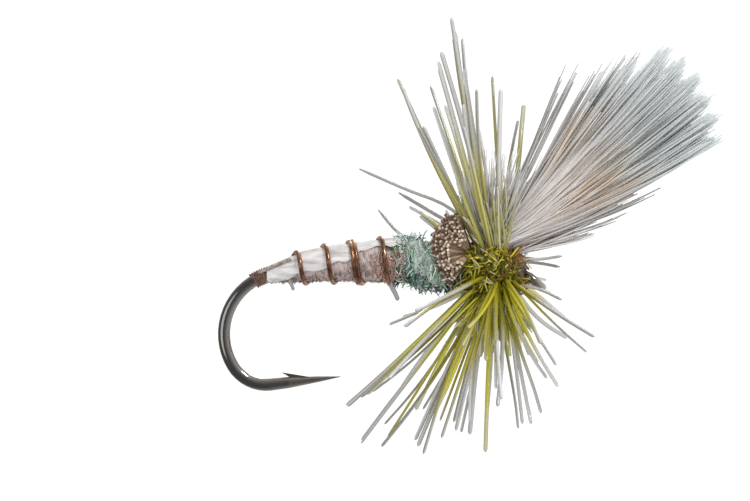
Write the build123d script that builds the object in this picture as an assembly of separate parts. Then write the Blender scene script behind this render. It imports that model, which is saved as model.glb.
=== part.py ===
from build123d import *
import math
import os

# Cripple-style dry fly: a mayfly stuck half out of its shuck, tied on a long-shank hook.
# Millimetres. The origin is the centre of the hook's eye, +X runs forward along the shank and past
# the eye, +Z is up and the hook's bend and point lie below the shank in the plane Y = 0.
# One round wire makes the hook. Everything else is bound to its shank: thread, body, rib wire,
# dubbing, a bunch of hair that is the wing in front and clipped butts behind, and a wound feather.

# ---------------------------------------------------------------- driving dimensions
WIRE_R = 0.28            # radius of the shank wire
FORGED_TALL = 0.31       # half height of the flattened bend, in the plane of the hook
FORGED_WIDE = 0.24       # half width of the flattened bend, across it
SHANK_Z = 0.40           # the shank's axis above the eye's centre
SHANK_FRONT_X = -0.95    # where the shank turns down to the eye
BEND_X = -12.35          # where the shank ends and the bend begins
BEND_R = 3.10            # the large arc of the bend
HEEL_R = 1.95            # the tighter arc under it
BEND_END_DEG = 211.0     # where the large arc hands over to the heel
POINT_RISE_DEG = 6.5     # the spear rises this much towards the point
SPEAR_LENGTH = 3.52
POINT_R = 0.015
# Spear stations: share of its length, then half height and half width as shares of the forged bend's.
SPEAR = [(0.0, 1.0, 1.0), (0.26, 0.92, 0.98), (0.70, 0.46, 0.55)]
BARB_CUT_FROM = 1.95     # where the cut that raises the hook's barb ends, measured along the spear
BARB_CUT_TO = 0.52       # the spear's length behind the barb's tip
BARB_CUT_HEIGHT = 0.56   # the barb's tip above the spear's axis
BARB_CUT_HALF_WIDTH = 0.09

EYE_RING_R = 0.58        # centreline radius of the eye
EYE_WIRE_R = 0.23
EYE_BORE_R = 0.362       # the bore's flat land is where the ring comes nearest its own axis
EYE_DROP_DEG = 40.0      # the eye is turned down by this much
EYE_BORE_REACH = 1.0     # the bore's cut reaches this far both ways, clear of the ring

THREAD_R = 0.34          # the shank with its layer of thread
RIB_WIRE_R = 0.09
RIB_PITCH = 1.40
RIB_TURNS = 3.9
RIB_START_X = -11.85
RIB_LEAD = [(-13.30, 0.78), (-12.60, 1.17)]  # x and height of the wire's straight lead
WIRE_GAP = 0.02          # clearance between a wound wire and what it is wound on
SHELLBACK_T = 0.06
REAR_WRAPS_DEG = (110.0, 121.0)  # the stretch of the bend under the rear thread wraps
REAR_WRAPS_T = 0.07
POINTS_PER_TURN = 10     # corners of a wound wire's path in each turn
CORNER_ROUNDING = 0.45   # how much of a straight run each rounded corner may take

# Abdomen stations: x, height of the centre, radius.
ABDOMEN = [
    (-13.35, 0.27, 0.39),
    (-12.40, 0.44, 0.53),
    (-11.60, 0.66, 0.71),
    (-10.10, 0.83, 0.84),
    (-8.60, 0.90, 0.95),
    (-7.10, 0.97, 1.07),
    (-6.20, 1.00, 1.08),
]
# Thorax stations, in the same form.
THORAX = [
    (-7.15, 0.98, 0.98),
    (-6.40, 0.98, 1.24),
    (-5.50, 0.82, 1.26),
    (-4.60, 0.50, 1.02),
    (-3.25, 0.42, 0.76),
]

WAIST_X = -3.10          # rear edge of the thread band that binds the hair
WAIST_LENGTH = 0.32
WAIST_HALF_WIDTH = 0.62
WAIST_T = 0.10
HAIR_Z = 1.30            # the bound hair lies on top of the shank at this height
HAIR_R = 0.42
BUTT_LENGTH = 2.15
BUTT_END_R = 1.60
BUTT_TILT_DEG = 12.0     # the clipped butts point back and this much up
BUTT_DOME_SHIFT = 0.10   # centre of the clipped dome, ahead of the flare's root
# Wing stations: x, height, half height, half width and the slope in degrees that the hair climbs at.
WING = [
    (WAIST_X + WAIST_LENGTH, HAIR_Z, HAIR_R, HAIR_R, 0),
    (-1.75, 1.42, 0.55, 0.52, 22),
    (-0.85, 2.10, 0.95, 0.85, 45),
    (0.30, 3.45, 1.75, 1.25, 50),
    (2.20, 5.75, 2.95, 1.75, 51),
    (4.60, 8.40, 3.80, 2.20, 49),
    (6.50, 9.70, 3.10, 2.20, 46),
    (8.00, 9.60, 2.00, 1.50, 38),
]

COLLAR_X = (-2.74, -1.10)
COLLAR_R = 1.02
COLLAR_Z = 0.36
COLLAR_EDGE_R = 0.30
QUILL_R = 0.075
QUILL_TURNS = 5
QUILL_INSET = 0.12       # the quill's first and last turns lie this far inside the collar's ends
BARB_ROOT_R = 0.085
BARB_TIP_R = 0.06
BARB_ROOT_FROM_AXIS = COLLAR_R + BARB_ROOT_R + 0.01

# Rows of barbs, from the rear of the collar forward: lean in degrees from square to the shank, and
# length. Below, each row fans from side to side.
ROWS_BELOW = [(-50, 8.2), (-37, 9.0), (-25, 8.9), (-13, 8.2), (-1, 8.0), (12, 7.4), (27, 7.0), (46, 6.2)]
ROWS_BELOW_X = (-2.52, 0.175)   # first row and the step to the next
BARBS_IN_ROW = 7
ROW_FAN_DEG = 22.0       # between neighbours in a row
ROW_STAGGER_DEG = 5.0    # each row is turned this much against the next
# At the sides: which side, the lean of each row, the first barb's turn from straight down and the step.
SIDE_GROUPS = [(-1, (-14, -2, 10), 84.0, 11.0), (1, (-36, -8, 20), 88.0, 15.0)]
SIDE_ROWS_X = (-2.45, 0.45)
SIDE_LENGTH = 7.4
# Above, they are rooted down the sides of the collar, where the hair leaves room.
ROWS_ABOVE = [(-27, 9.2), (-16, 9.8), (-7, 11.6)]
ROWS_ABOVE_X = (-2.50, 0.2)
ABOVE_ROOT_DEG = (36, 17)       # from straight up: the first root, and the step to the next
ABOVE_TURN_DEG = (7, 11)        # the same for the barb itself
ABOVE_SHORTER = 1.1

STRAY_R = 0.05
STRAYS_REAR = [
    [(-2.72, 0.95, 1.30), (-3.30, 1.65, 2.90), (-4.55, 1.90, 3.75), (-8.65, 2.20, 5.60)],
    [(-2.85, 1.20, 0.95), (-3.45, 1.95, 2.45), (-4.60, 2.20, 3.30), (-6.70, 2.50, 4.35)],
    [(-2.90, 1.25, 0.45), (-4.00, 1.95, 1.20), (-6.00, 2.30, 2.20), (-7.75, 2.60, 3.55)],
]
STRAYS_FRONT = [
    [(-1.02, -0.86, 0.72), (1.40, -1.20, 1.15)],
    [(-1.02, 0.86, 0.66), (1.40, 1.30, 0.65)],
    [(-1.02, -0.80, -0.05), (1.35, -1.60, -1.00)],
]

HEAD_X = (-1.08, -0.82)  # the thread head, from the collar to the whip finish
HEAD_Z = (0.54, 0.46)
HEAD_R = (0.68, 0.54)
WHIP_LENGTH = 0.12
WHIP_R = (0.48, 0.38)
CEMENT_T = 0.04


def pt(x, z, y=0.0):
    """A point from its place along the shank and its height."""
    return Vector(x, y, z)


def section(x, z, tall, wide, slope_deg=0.0):
    """An ellipse across a line that climbs forward at slope_deg, tall in the hook's plane."""
    slope = math.radians(slope_deg)
    along = (math.cos(slope), 0, math.sin(slope))
    plane = Plane(origin=(x, 0, z), x_dir=(0, 1, 0), z_dir=along)
    return plane * Ellipse(wide, tall)


def tube_along_x(stations, grow=0.0):
    """A smooth round body through stations of x, centre height and radius."""
    return loft([section(x, z, r + grow, r + grow) for x, z, r in stations])


def rod(start, end, start_r, end_r):
    """A straight round bar that may taper."""
    start, end = Vector(*start), Vector(*end)
    plane = Plane(origin=start, z_dir=end - start)
    length = (end - start).length
    if abs(start_r - end_r) < 1e-6:
        return Solid.make_cylinder(start_r, length, plane)
    return Solid.make_cone(start_r, end_r, length, plane)


def at_station(stations, x):
    """Centre height and radius between two stations."""
    for (x0, z0, r0), (x1, z1, r1) in zip(stations, stations[1:]):
        if x <= x1:
            share = max(0.0, (x - x0) / (x1 - x0))
            return z0 + share * (z1 - z0), r0 + share * (r1 - r0)
    return stations[-1][1], stations[-1][2]


def wound_wire(points, radius):
    """A round wire through the points, with straight runs and arcs as large as the runs allow."""
    radii = []
    for before, here, after in zip(points, points[1:], points[2:]):
        turn = math.radians((here - before).get_angle(after - here))
        shorter = min((here - before).length, (after - here).length)
        radii.append(CORNER_ROUNDING * shorter / math.tan(turn / 2))
    path = FilletPolyline(*points, radius=radii)
    start = Plane(origin=points[0], z_dir=points[1] - points[0])
    return sweep(start * Circle(radius), path=path)


# ---------------------------------------------------------------- hook
def bend_centre():
    return BEND_X, SHANK_Z - BEND_R


def on_bend(angle_deg):
    """A point on the bend's large arc. 90 degrees is its top, 180 its rearmost point."""
    cx, cz = bend_centre()
    angle = math.radians(angle_deg)
    return pt(cx + BEND_R * math.cos(angle), cz + BEND_R * math.sin(angle))


def heel_point(heading_deg):
    """A point on the heel arc, where the wire runs forward at heading_deg above the horizontal."""
    start = on_bend(BEND_END_DEG)
    first, here = math.radians(BEND_END_DEG - 270), math.radians(heading_deg)
    return pt(
        start.X + HEEL_R * (math.sin(here) - math.sin(first)),
        start.Z - HEEL_R * (math.cos(here) - math.cos(first)),
    )


def on_spear(distance):
    rise = math.radians(POINT_RISE_DEG)
    start = heel_point(POINT_RISE_DEG)
    return pt(start.X + distance * math.cos(rise), start.Z + distance * math.sin(rise))


def make_bend():
    middle_heading = (BEND_END_DEG - 270 + POINT_RISE_DEG) / 2
    large = ThreePointArc(on_bend(90), on_bend(150), on_bend(BEND_END_DEG))
    heel = ThreePointArc(on_bend(BEND_END_DEG), heel_point(middle_heading), heel_point(POINT_RISE_DEG))
    start = Plane(origin=on_bend(90), x_dir=(0, 1, 0), z_dir=(-1, 0, 0))
    return sweep(start * Ellipse(FORGED_WIDE, FORGED_TALL), path=Wire([large, heel]))


def make_spear():
    """The straight front of the hook's lower limb, ground to a needle point."""
    stations = []
    for share, tall, wide in SPEAR:
        stations.append((SPEAR_LENGTH * share, FORGED_TALL * tall, FORGED_WIDE * wide))
    stations.append((SPEAR_LENGTH, POINT_R, POINT_R))
    shapes = []
    for distance, tall, wide in stations:
        place = on_spear(distance)
        shapes.append(section(place.X, place.Z, tall, wide, POINT_RISE_DEG))
    return loft(shapes, ruled=True)


def make_barb():
    """A sliver cut up from the top of the spear, pointing back at the bend."""
    root, tip = on_spear(BARB_CUT_FROM), on_spear(BARB_CUT_TO)
    outline = Polyline(
        (tip.X, tip.Z + BARB_CUT_HEIGHT),
        (root.X, root.Z + 0.17),
        (root.X, root.Z),
        (root.X - 0.75, root.Z - 0.05),
        (root.X - 0.92, root.Z + 0.12),
        close=True,
    )
    face = make_face(Plane.XZ * outline)
    return extrude(face, amount=BARB_CUT_HALF_WIDTH, both=True)


def make_eye():
    """The down-turned ring, with the short neck that joins it to the shank."""
    drop = math.radians(EYE_DROP_DEG)
    axis = Vector(math.sin(drop), 0, math.cos(drop))
    ring = Solid.make_torus(EYE_RING_R, EYE_WIRE_R, Plane(origin=(0, 0, 0), z_dir=axis))
    back_of_ring = (-EYE_RING_R * math.cos(drop), 0, EYE_RING_R * math.sin(drop))
    neck = rod((SHANK_FRONT_X, 0, SHANK_Z), back_of_ring, WIRE_R * 0.95, EYE_WIRE_R * 0.98)
    cut_start = Plane(origin=axis * -EYE_BORE_REACH, z_dir=axis)
    bore = Solid.make_cylinder(EYE_BORE_R, 2 * EYE_BORE_REACH, cut_start)
    return Part() + ring + neck - bore


def make_hook():
    shank = rod((BEND_X, 0, SHANK_Z), (SHANK_FRONT_X, 0, SHANK_Z), WIRE_R, WIRE_R)
    return Part() + shank + make_bend() + make_spear() + make_barb() + make_eye()


# ---------------------------------------------------------------- thread
def make_thread_base():
    """The close layer of thread that the whole fly is built on."""
    front = SHANK_FRONT_X - 0.25
    outer = rod((BEND_X + 0.05, 0, SHANK_Z), (front, 0, SHANK_Z), THREAD_R, THREAD_R)
    inner = rod((BEND_X, 0, SHANK_Z), (front + 0.1, 0, SHANK_Z), WIRE_R, WIRE_R)
    return Part() + outer - inner


def make_rear_wraps(hook):
    """Turns of thread at the top of the bend, where the body's materials are tied in."""
    first, last = REAR_WRAPS_DEG
    arc = ThreePointArc(on_bend(first), on_bend((first + last) / 2), on_bend(last))
    tangent = Vector(-math.sin(math.radians(first)), 0, math.cos(math.radians(first)))
    start = Plane(origin=on_bend(first), x_dir=(0, 1, 0), z_dir=tangent)
    grown = Ellipse(FORGED_WIDE + REAR_WRAPS_T, FORGED_TALL + REAR_WRAPS_T)
    return Part() + sweep(start * grown, path=arc) - hook


def make_waist_wraps(hair, butts, inside):
    """The tight band that binds the hair bunch down on the shank."""
    low, high = SHANK_Z - THREAD_R - WAIST_T, HAIR_Z + HAIR_R + WAIST_T
    middle, half = (low + high) / 2, (high - low) / 2
    across = Plane(origin=(WAIST_X, 0, middle), x_dir=(0, 1, 0), z_dir=(1, 0, 0))
    band = across * Ellipse(WAIST_HALF_WIDTH, half)
    return Part() + extrude(band, amount=WAIST_LENGTH) - hair - butts - inside


def head_cone(grow=0.0):
    start, end = (HEAD_X[0], 0, HEAD_Z[0]), (HEAD_X[1], 0, HEAD_Z[1])
    return rod(start, end, HEAD_R[0] + grow, HEAD_R[1] + grow)


def make_head_wraps(inside):
    return Part() + head_cone() - inside


def make_whip_finish(inside):
    """The knot's last turns, a narrow band between the head and the eye."""
    start = (HEAD_X[1] + 0.01, 0, HEAD_Z[1])
    end = (HEAD_X[1] + WHIP_LENGTH, 0, HEAD_Z[1] - 0.02)
    return Part() + rod(start, end, WHIP_R[0], WHIP_R[1]) - inside


def make_head_cement():
    """A thin clear coat on the head."""
    return Part() + head_cone(CEMENT_T) - head_cone()


# ---------------------------------------------------------------- body
def make_underbody(inside):
    stations = [(-12.20, 0.44, 0.43)]
    for x, z, r in ABDOMEN[2:]:
        centre = (z + SHANK_Z) / 2
        stations.append((min(x, -6.30), centre, THREAD_R + (centre - SHANK_Z) + 0.05))
    return Part() + tube_along_x(stations) - inside


def make_shellback():
    """A pale strip pulled forward over the back of the abdomen, narrower towards the thorax."""
    strip = Part() + tube_along_x(ABDOMEN, SHELLBACK_T) - tube_along_x(ABDOMEN)
    side = Polyline((-13.30, 0.25), (-13.30, 3.0), (-6.20, 3.0), (-6.20, 1.45), close=True)
    above = extrude(make_face(Plane.XZ * side), amount=3.0, both=True)
    return strip & above


def make_rib():
    """Copper wire: a straight lead from its tie-in, then an open spiral to the thorax."""
    points = [pt(x, z) for x, z in RIB_LEAD]
    steps = int(RIB_TURNS * POINTS_PER_TURN)
    for step in range(steps + 1):
        turn = step / POINTS_PER_TURN
        x = RIB_START_X + RIB_PITCH * turn
        z, r = at_station(ABDOMEN, x)
        reach = (r + SHELLBACK_T + RIB_WIRE_R + WIRE_GAP) / math.cos(math.pi / POINTS_PER_TURN)
        angle = 2 * math.pi * turn
        points.append(pt(x, z + reach * math.cos(angle), -reach * math.sin(angle)))
    return wound_wire(points, RIB_WIRE_R)


# ---------------------------------------------------------------- hair
def make_butts(inside):
    """The rear ends of the hair, flared by the thread and clipped to a dome."""
    tilt = math.radians(180 - BUTT_TILT_DEG)
    back = Vector(math.cos(tilt), 0, math.sin(tilt))
    root = pt(WAIST_X, HAIR_Z)
    flare = Solid.make_cone(HAIR_R, BUTT_END_R, BUTT_LENGTH, Plane(origin=root, z_dir=back))
    dome = Solid.make_sphere(BUTT_LENGTH + BUTT_DOME_SHIFT, Plane(origin=root + back * BUTT_DOME_SHIFT))
    neck = rod(root, (WAIST_X + WAIST_LENGTH, 0, HAIR_Z), HAIR_R, HAIR_R)
    return (Part() + flare + neck) & (Part() + dome) - inside


def make_wing():
    """The front of the bunch: it leaves the band level, then leans forward and fans out."""
    return loft([section(*station) for station in WING], ruled=True)


# ---------------------------------------------------------------- hackle
def make_quill():
    """The bare stem of the feather, wound round the shank under the collar."""
    first, last = COLLAR_X[0] + QUILL_INSET, COLLAR_X[1] - QUILL_INSET
    steps = QUILL_TURNS * POINTS_PER_TURN
    reach = (THREAD_R + QUILL_R + WIRE_GAP / 2) / math.cos(math.pi / POINTS_PER_TURN)
    points = []
    for step in range(steps + 1):
        angle = 2 * math.pi * step / POINTS_PER_TURN
        x = first + (last - first) * step / steps
        points.append(pt(x, SHANK_Z - reach * math.cos(angle), reach * math.sin(angle)))
    return wound_wire(points, QUILL_R)


def make_collar(inside):
    """The soft web at the roots of the wound feather."""
    outer = rod((COLLAR_X[0], 0, COLLAR_Z), (COLLAR_X[1], 0, COLLAR_Z), COLLAR_R, COLLAR_R)
    edges = outer.edges().filter_by(GeomType.CIRCLE)
    collar = Part() + outer.fillet(COLLAR_EDGE_R, edges)
    bore_r = THREAD_R + 2 * QUILL_R + WIRE_GAP
    bore = rod((COLLAR_X[0] - 1, 0, SHANK_Z), (COLLAR_X[1] + 1, 0, SHANK_Z), bore_r, bore_r)
    return collar - bore - inside


def barb(root_x, roll_deg, lean_deg, length, root_roll_deg=None):
    """One barb. roll_deg turns it about the shank from straight down, lean_deg tips it forward.

    root_roll_deg is where on the collar it is rooted, the same as roll_deg unless it is given."""
    roll, lean = math.radians(roll_deg), math.radians(lean_deg)
    root_roll = roll if root_roll_deg is None else math.radians(root_roll_deg)
    to_root = Vector(0, math.sin(root_roll), -math.cos(root_roll))
    root = pt(root_x, COLLAR_Z) + to_root * BARB_ROOT_FROM_AXIS
    out = Vector(0, math.sin(roll), -math.cos(roll))
    along = Vector(math.sin(lean), 0, 0) + out * math.cos(lean)
    return rod(root, root + along * length, BARB_ROOT_R, BARB_TIP_R)


def make_barbs_below():
    """The barbs that the fly stands on, fanned fore and aft row by row and from side to side."""
    first_x, step_x = ROWS_BELOW_X
    barbs = []
    for row, (lean, length) in enumerate(ROWS_BELOW):
        stagger = ROW_STAGGER_DEG if row % 2 else -ROW_STAGGER_DEG
        for i in range(BARBS_IN_ROW):
            roll = ROW_FAN_DEG * (i - (BARBS_IN_ROW - 1) / 2) + stagger
            barbs.append(barb(first_x + step_x * row, roll, lean, length))
    return Compound(barbs)


def make_barbs_sides():
    """Barbs that stand out level on both sides. On the near side they keep clear of the butts."""
    first_x, step_x = SIDE_ROWS_X
    barbs = []
    for side, leans, first_turn, step_turn in SIDE_GROUPS:
        for row, lean in enumerate(leans):
            for i in range(3):
                roll = side * (first_turn + step_turn * i + 3 * row)
                barbs.append(barb(first_x + step_x * row, roll, lean, SIDE_LENGTH))
    return Compound(barbs)


def make_barbs_above():
    """The longest barbs. They pass the hair on both sides and stand up behind the wing."""
    first_x, step_x = ROWS_ABOVE_X
    barbs = []
    for side in (-1, 1):
        for row, (lean, length) in enumerate(ROWS_ABOVE):
            for i in range(2):
                root_roll = 180 - side * (ABOVE_ROOT_DEG[0] + ABOVE_ROOT_DEG[1] * i)
                roll = 180 - side * (ABOVE_TURN_DEG[0] + ABOVE_TURN_DEG[1] * i)
                shorter = length - ABOVE_SHORTER * i
                barbs.append(barb(first_x + step_x * row, roll, lean, shorter, root_roll))
    return Compound(barbs)


def make_barbs_rear():
    """Stray barbs that curve back past the butts on the far side."""
    return Compound([wound_wire([Vector(*point) for point in path], STRAY_R) for path in STRAYS_REAR])


def make_barbs_front():
    """Stray barbs that point forward past the eye."""
    return Compound([rod(start, end, STRAY_R, STRAY_R) for start, end in STRAYS_FRONT])


# ---------------------------------------------------------------- assembly
def make_all():
    hook = make_hook()
    thread_base = make_thread_base()
    shank = rod((BEND_X - 0.2, 0, SHANK_Z), (SHANK_FRONT_X - 0.2, 0, SHANK_Z), THREAD_R, THREAD_R)
    wing = make_wing()
    butts = make_butts(shank)
    underbody = make_underbody(shank)
    abdomen = Part() + tube_along_x(ABDOMEN) - hook - shank - underbody
    rib = make_rib()
    abdomen_room = tube_along_x(ABDOMEN, SHELLBACK_T)
    thorax = Part() + tube_along_x(THORAX) - abdomen_room - shank - butts - underbody - rib
    collar = make_collar(Part() + wing)
    return {
        "hook": hook,
        "thread_base": thread_base,
        "rear_thread_wraps": make_rear_wraps(hook),
        "waist_thread_wraps": make_waist_wraps(wing, butts, shank),
        "head_thread_wraps": make_head_wraps(hook + thread_base),
        "whip_finish": make_whip_finish(hook),
        "head_cement": make_head_cement(),
        "underbody": underbody,
        "abdomen_wrap": abdomen,
        "shellback_strip": make_shellback(),
        "rib_wire": rib,
        "thorax_dubbing": thorax,
        "wing_hair": wing,
        "wing_butts": butts,
        "hackle_quill": make_quill(),
        "hackle_web": collar,
        "hackle_barbs_below": make_barbs_below(),
        "hackle_barbs_sides": make_barbs_sides(),
        "hackle_barbs_above": make_barbs_above(),
        "hackle_barbs_rear": make_barbs_rear(),
        "hackle_barbs_front": make_barbs_front(),
    }


os.makedirs("parts", exist_ok=True)
for name, shape in make_all().items():
    export_step(shape, os.path.join("parts", name + ".step"))
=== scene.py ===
import math

import bpy
import numpy as np
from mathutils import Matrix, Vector, noise


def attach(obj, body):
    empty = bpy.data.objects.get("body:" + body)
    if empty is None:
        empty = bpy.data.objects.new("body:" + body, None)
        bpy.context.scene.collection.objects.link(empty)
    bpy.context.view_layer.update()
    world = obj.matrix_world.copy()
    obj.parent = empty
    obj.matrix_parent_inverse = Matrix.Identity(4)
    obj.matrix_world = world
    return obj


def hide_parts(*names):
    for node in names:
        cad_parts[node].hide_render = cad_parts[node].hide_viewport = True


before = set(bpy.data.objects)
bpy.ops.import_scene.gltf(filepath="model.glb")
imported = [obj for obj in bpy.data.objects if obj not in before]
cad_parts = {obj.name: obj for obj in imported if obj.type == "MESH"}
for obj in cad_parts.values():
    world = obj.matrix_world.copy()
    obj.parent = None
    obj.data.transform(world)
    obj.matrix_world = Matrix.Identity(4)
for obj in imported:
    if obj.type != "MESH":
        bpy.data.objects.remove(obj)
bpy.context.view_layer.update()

# A dry fly on a long-shank hook, seen from its right side. Lengths here are in millimetres, in the frame
# of the CAD model: the origin is the centre of the eye, +X points forward and +Z up. A mesh is turned into
# metres when it is made.
MM = 0.001
BODY = "root"

# ---- places
SHANK_Z = 0.40
BEND_X = -12.35
BEND_R = 3.10
WAIST = np.array([-2.95, 0.0, 1.30])
COLLAR_X = (-2.74, -1.10)
COLLAR_MIDDLE_X = -1.90
COLLAR_Z = 0.36
HEAD_X = (-1.10, -0.22)
HEAD_Z = (0.56, 0.17)
HEAD_R = (0.66, 0.40)
RIB_PITCH = 1.40
RIB_START_X = -11.85
RIB_WIRE_R = 0.115
# Points in each turn of the rib and of the wound threads.
RIB_STEPS = 40
THREAD_STEPS = 26

# The round bodies' stations: x, height of the centre, radius.
ABDOMEN = [
    (-13.35, 0.27, 0.37), (-12.40, 0.44, 0.52), (-11.60, 0.66, 0.70), (-10.10, 0.83, 0.83),
    (-8.60, 0.90, 0.94), (-7.10, 0.97, 1.06), (-6.20, 1.00, 1.07),
]
THORAX = [
    (-7.05, 0.98, 0.85), (-6.40, 0.98, 1.10), (-5.60, 0.80, 1.14), (-5.00, 0.52, 0.92),
    (-4.30, 0.34, 0.74), (-3.25, 0.30, 0.58),
]


# ---- colours
def srgb(red, green, blue):
    """A colour given in 0 to 255, as the renderer's linear values."""
    parts = [c / 255 for c in (red, green, blue)]
    return tuple(c / 12.92 if c <= 0.04045 else ((c + 0.055) / 1.055) ** 2.4 for c in parts)


OLIVE_DARK = srgb(98, 90, 14)
OLIVE = srgb(172, 162, 28)
OLIVE_BRIGHT = srgb(230, 222, 60)
OLIVE_PALE = srgb(210, 207, 146)
PALE_WASH = srgb(222, 221, 210)
BARB_GREY = srgb(200, 199, 194)
BARB_TIP = srgb(212, 211, 210)
TAUPE_DARK = srgb(150, 139, 138)
TAUPE = srgb(210, 205, 202)
TAN = srgb(208, 184, 156)
HAIR_PALE = srgb(205, 210, 210)
HAIR_DARK_TIP = srgb(138, 140, 142)
CREAM = srgb(216, 199, 174)
BUTT_BROWN = srgb(170, 144, 122)
BUTT_DARK = srgb(88, 70, 58)
TEAL = srgb(92, 142, 134)
GREEN = srgb(138, 178, 142)
MINT = srgb(196, 214, 196)
SLATE = srgb(178, 188, 188)
NAVY = srgb(50, 58, 72)
SILVER = srgb(224, 230, 228)
MAUVE = srgb(184, 170, 165)
MAUVE_DARK = srgb(130, 112, 106)
PINK = srgb(218, 184, 172)
COPPER_DUB = srgb(182, 130, 98)


# ---- meshes and tubes
def add_object(name, data):
    """A new object in the scene."""
    thing = bpy.data.objects.new(name, data)
    bpy.context.collection.objects.link(thing)
    return thing


def smooth_mesh(name, points, faces):
    mesh = bpy.data.meshes.new(name)
    mesh.from_pydata(points, [], faces)
    mesh.polygons.foreach_set("use_smooth", [True] * len(faces))
    return mesh


def unit(vectors):
    """The same directions with length one."""
    return vectors / np.linalg.norm(vectors, axis=-1, keepdims=True)


def across_lines(lines, roll):
    """Two directions across each line at each of its rings, carried along it without twisting."""
    along = unit(np.gradient(lines, axis=1))
    steep = np.abs(along[:, 0, 1:2]) > 0.9
    side = unit(np.cross(along[:, 0], np.where(steep, [[1.0, 0.0, 0.0]], [[0.0, 1.0, 0.0]])))
    other = np.cross(along[:, 0], side)
    roll = np.broadcast_to(roll, len(lines))[:, None]
    side = side * np.cos(roll) + other * np.sin(roll)
    sides = np.empty_like(lines)
    for ring in range(lines.shape[1]):
        side = unit(side - (side * along[:, ring]).sum(axis=1, keepdims=True) * along[:, ring])
        sides[:, ring] = side
    return sides, np.cross(along, sides)


def bake_map(mesh, count, rings, corners):
    """Lays each tube in its own upright cell of the map, round it across and along it upwards."""
    most_columns, left, width, bottom, height = 150, 0.15, 0.7, 0.03, 0.94
    columns = min(most_columns, count)
    rows = math.ceil(count / columns)
    tube = np.arange(count)
    cell_u, cell_v = (tube % columns) / columns, (tube // columns) / rows
    ring, corner = np.meshgrid(np.arange(rings - 1), np.arange(corners), indexing="ij")
    u = np.stack([corner, corner + 1, corner + 1, corner], axis=-1) / corners
    v = np.stack([ring, ring, ring + 1, ring + 1], axis=-1) / (rings - 1)
    u, v = left + width * u.reshape(1, -1), bottom + height * v.reshape(1, -1)
    quads = np.stack([cell_u[:, None] + u / columns, cell_v[:, None] + v / rows], axis=-1)
    around = left + width * np.arange(corners)[None] / corners
    ends = []
    for level, order in ((bottom, slice(None, None, -1)), (bottom + height, slice(None))):
        end_u = cell_u[:, None] + around[:, order] / columns
        end_v = np.broadcast_to(cell_v[:, None] + level / rows, end_u.shape)
        ends.append(np.stack([end_u, end_v], axis=-1).reshape(-1, 2))
    places = np.concatenate([quads.reshape(-1, 2), *ends])
    mesh.uv_layers.new(name="OFBake").data.foreach_set("uv", places.astype(np.float32).ravel())


def tubes(name, lines, radii, tints, corners=6, flat=1.0, roll=0.0, rim=0.0):
    """One mesh of many tapered tubes.

    lines is (tubes, rings, 3), radii (tubes, rings) and tints (tubes, rings, 3). flat squeezes them, and
    rim paints shade into the tint: the two narrow edges of a squeezed one are darkened as painted shade."""
    count, rings = radii.shape
    side, other = across_lines(lines, roll)
    turn = np.arange(corners) * 2 * np.pi / corners
    spread = np.cos(turn)[:, None] * side[:, :, None] + np.sin(turn)[:, None] * other[:, :, None] * flat
    points = (lines[:, :, None] + spread * radii[:, :, None, None]) * MM
    here = np.arange(count * rings * corners).reshape(count, rings, corners)
    after = np.roll(here, -1, axis=2)
    quads = np.stack([here[:, :-1], after[:, :-1], after[:, 1:], here[:, 1:]], axis=-1).reshape(-1, 4)
    caps = np.concatenate([here[:, 0, ::-1], here[:, -1]])
    mesh = bpy.data.meshes.new(name)
    mesh.from_pydata(points.reshape(-1, 3).tolist(), [], quads.tolist() + caps.tolist())
    smooth = np.concatenate([np.ones(len(quads), bool), np.zeros(len(caps), bool)])
    mesh.polygons.foreach_set("use_smooth", smooth)
    colours = np.ones((count, rings, corners, 4), np.float32)
    # Painted shade: the tint is darkened towards the two narrow edges of a squeezed tube, and the broad
    # faces stay lighter.
    shade = 1 - rim * np.abs(np.cos(turn)) ** 2
    colours[..., :3] = np.clip(tints, 0, 1)[:, :, None] * shade[:, None]
    mesh.attributes.new("tint", "FLOAT_COLOR", "POINT").data.foreach_set("color", colours.ravel())
    bake_map(mesh, count, rings, corners)
    return add_object(name, mesh)


def curves(starts, pulls, ends, rings):
    """Lines that leave starts, lean towards pulls and arrive at ends."""
    t = np.linspace(0, 1, rings)[None, :, None]
    return (1 - t) ** 2 * starts[:, None] + 2 * t * (1 - t) * pulls[:, None] + t**2 * ends[:, None]


def wavy(lines, amount, seed, waves=2.0):
    """The lines with a slow random wave that grows from their roots."""
    pick = np.random.default_rng(seed)
    count, rings, _ = lines.shape
    t = np.linspace(0, 1, rings)[None, :, None]
    phase = pick.uniform(0, 2 * np.pi, (count, 1, 3))
    speed = pick.uniform(0.5, 1.2, (count, 1, 3)) * waves * np.pi
    size = pick.normal(0, 1, (count, 1, 3)) * amount
    return lines + size * np.sin(phase + speed * t) * np.minimum(1, 3 * t)


def blend_colours(stops, t):
    """Colours at t, a number or an array, from a list of (place, colour)."""
    places, colours = zip(*stops)
    return np.stack([np.interp(t, places, channel) for channel in zip(*colours)], axis=-1)


def tints_along(stops, count, rings):
    """The same colours along each of many tubes, from (share of the way along, colour) pairs."""
    return blend_colours(stops, np.broadcast_to(np.linspace(0, 1, rings), (count, rings)))


def taper(stops, rings):
    """Thickness at each ring, from (share of the way along, thickness) pairs."""
    return np.interp(np.linspace(0, 1, rings)[None, :], *zip(*stops))


def fibre_radii(radius, stops, rings, count, pick, vary):
    """Radii of many tapered tubes, some thicker than others."""
    return radius * taper(stops, rings) * np.exp(pick.normal(0, vary, (count, 1)))


def varied(tints, pick, amount):
    """Each tube a little lighter or darker than the next."""
    return tints * np.exp(pick.normal(0, amount, (len(tints), 1, 1)))


def outline(stations, x):
    """Centre height and radius of a round body at x, straight between its stations."""
    places, heights, radii = zip(*stations)
    return np.interp(x, places, heights), np.interp(x, places, radii)


def fan_out(turn, sideways):
    """Directions at one angle above level, seen from the side, and at another towards the far side."""
    level = np.cos(sideways)
    return np.column_stack([np.cos(turn) * level, np.sin(sideways), np.sin(turn) * level])


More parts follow.
